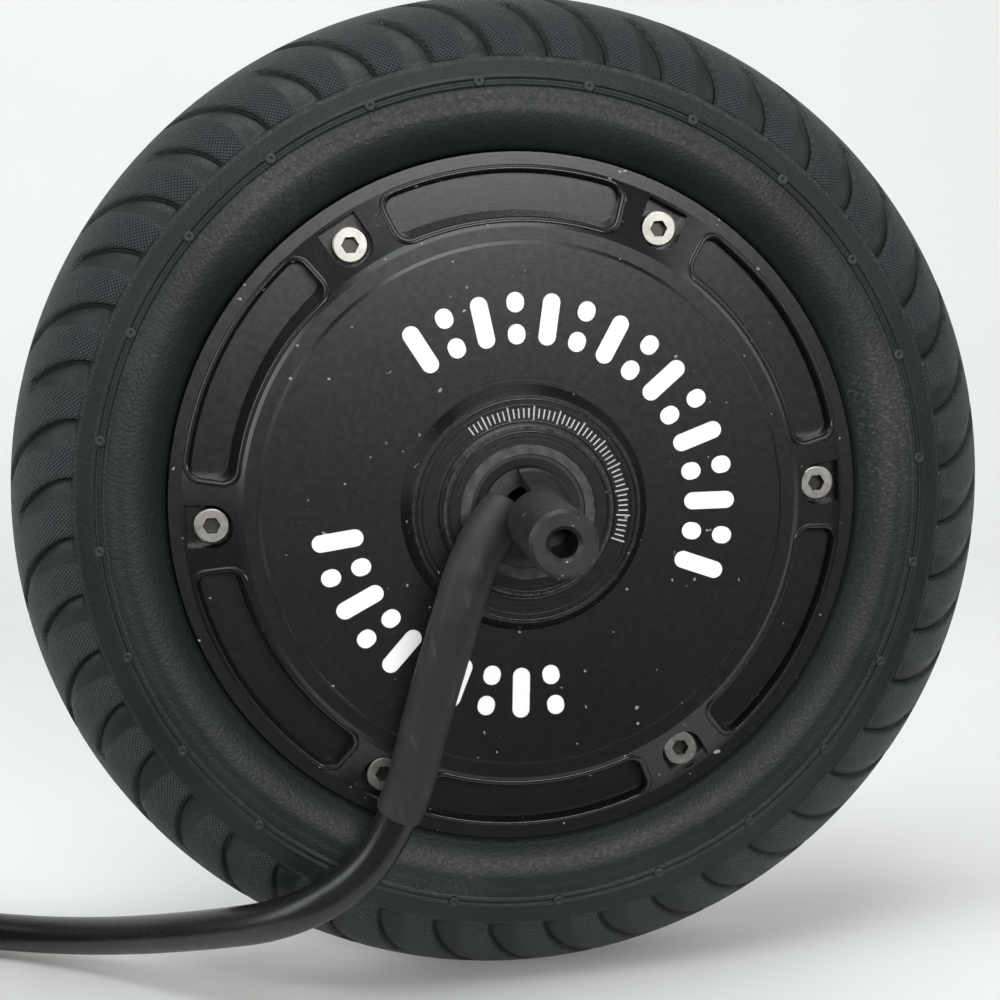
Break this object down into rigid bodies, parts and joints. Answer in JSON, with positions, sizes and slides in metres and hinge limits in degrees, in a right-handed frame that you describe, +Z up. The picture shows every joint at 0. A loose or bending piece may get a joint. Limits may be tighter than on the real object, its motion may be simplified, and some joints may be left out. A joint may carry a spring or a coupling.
{
  "type": "hub motor wheel",
  "caption": "Solid-tyred wheel whose hub is a brushless motor, on a fixed axle with a cable that leaves one end through a slot.",
  "frame": {"origin": "the wheel's centre on the axle, in the mid-plane of the tyre", "axes": "+Y along the axle from the cable side to the plain side, +Z up, and the wheel stands upright on its tyre at 100 mm below the origin"},
  "size_m": [0.3496, 0.148, 0.2],
  "materials": {
    "tyre_rubber": "matt moulded rubber",
    "black_paint": "satin black paint",
    "bare_aluminium": "turned",
    "axle_steel": "turned, blackened",
    "stainless": "bright",
    "bearing_steel": "ground",
    "spring_steel": "oiled",
    "plated_magnet": "nickel plated",
    "mild_steel": "turned",
    "lamination_steel": "stacked sheets",
    "enamelled_copper": "enamelled wire",
    "nylon": "moulded",
    "circuit_board": "solder mask",
    "black_epoxy": "moulded",
    "silicone_wire": "matt",
    "black_rubber": "matt",
    "white_inlay": "painted inlay",
    "heat_shrink": "matt shrink tube",
    "cable_jacket": "satin jacket",
    "plug_moulding": "moulded",
    "contact_brass": "plated",
    "tie_strap": "moulded"
  },
  "bodies": {
    "stator": {"axle": "axle_steel", "stator_key": "axle_steel", "stator_carrier": "bare_aluminium", "stator_core": "lamination_steel", "front_stator_insulator": "nylon", "rear_stator_insulator": "nylon", "stator_windings": "enamelled_copper", "hall_board": "circuit_board", "hall_sensors": "black_epoxy", "phase_leads": "silicone_wire", "front_bearing_inner_ring": "bearing_steel", "rear_bearing_inner_ring": "bearing_steel", "front_circlip": "spring_steel", "rear_circlip": "spring_steel", "cable_sleeve": "heat_shrink", "motor_cable": "cable_jacket", "motor_cable_coil": "cable_jacket", "motor_cable_tail": "cable_jacket", "coil_ties": "tie_strap", "motor_plug": "plug_moulding", "plug_pins": "contact_brass"},
    "wheel": {"tyre": "tyre_rubber", "rotor_shell": "bare_aluminium", "flux_ring": "mild_steel", "magnets": "plated_magnet", "front_cover": "black_paint", "rear_cover": "black_paint", "front_cover_marks": "white_inlay", "front_cover_screws": "stainless", "rear_cover_screws": "stainless", "front_gasket": "black_rubber", "rear_gasket": "black_rubber", "front_bearing_outer_ring": "bearing_steel", "rear_bearing_outer_ring": "bearing_steel", "front_bearing_shields": "black_rubber", "rear_bearing_shields": "black_rubber", "front_seal_case": "bearing_steel", "rear_seal_case": "bearing_steel", "front_seal_lip": "black_rubber", "rear_seal_lip": "black_rubber"},
    "front_ball_set": {"front_bearing_balls": "bearing_steel", "front_bearing_cage": "spring_steel"},
    "rear_ball_set": {"rear_bearing_balls": "bearing_steel", "rear_bearing_cage": "spring_steel"}
  },
  "joints": [
    {"name": "wheel_spin", "type": "hinge", "parent": "stator", "child": "wheel", "pos_m": [0, 0, 0], "axis": [0, 1, 0], "continuous": true},
    {"name": "front_balls_roll", "type": "hinge", "parent": "stator", "child": "front_ball_set", "pos_m": [0, -0.0206, 0], "axis": [0, 1, 0], "continuous": true},
    {"name": "rear_balls_roll", "type": "hinge", "parent": "stator", "child": "rear_ball_set", "pos_m": [0, 0.0206, 0], "axis": [0, 1, 0], "continuous": true}
  ],
  "couplings": [
    {"joint": "front_balls_roll", "follows": "wheel_spin", "ratio": 0.5915},
    {"joint": "rear_balls_roll", "follows": "wheel_spin", "ratio": 0.5915}
  ]
}
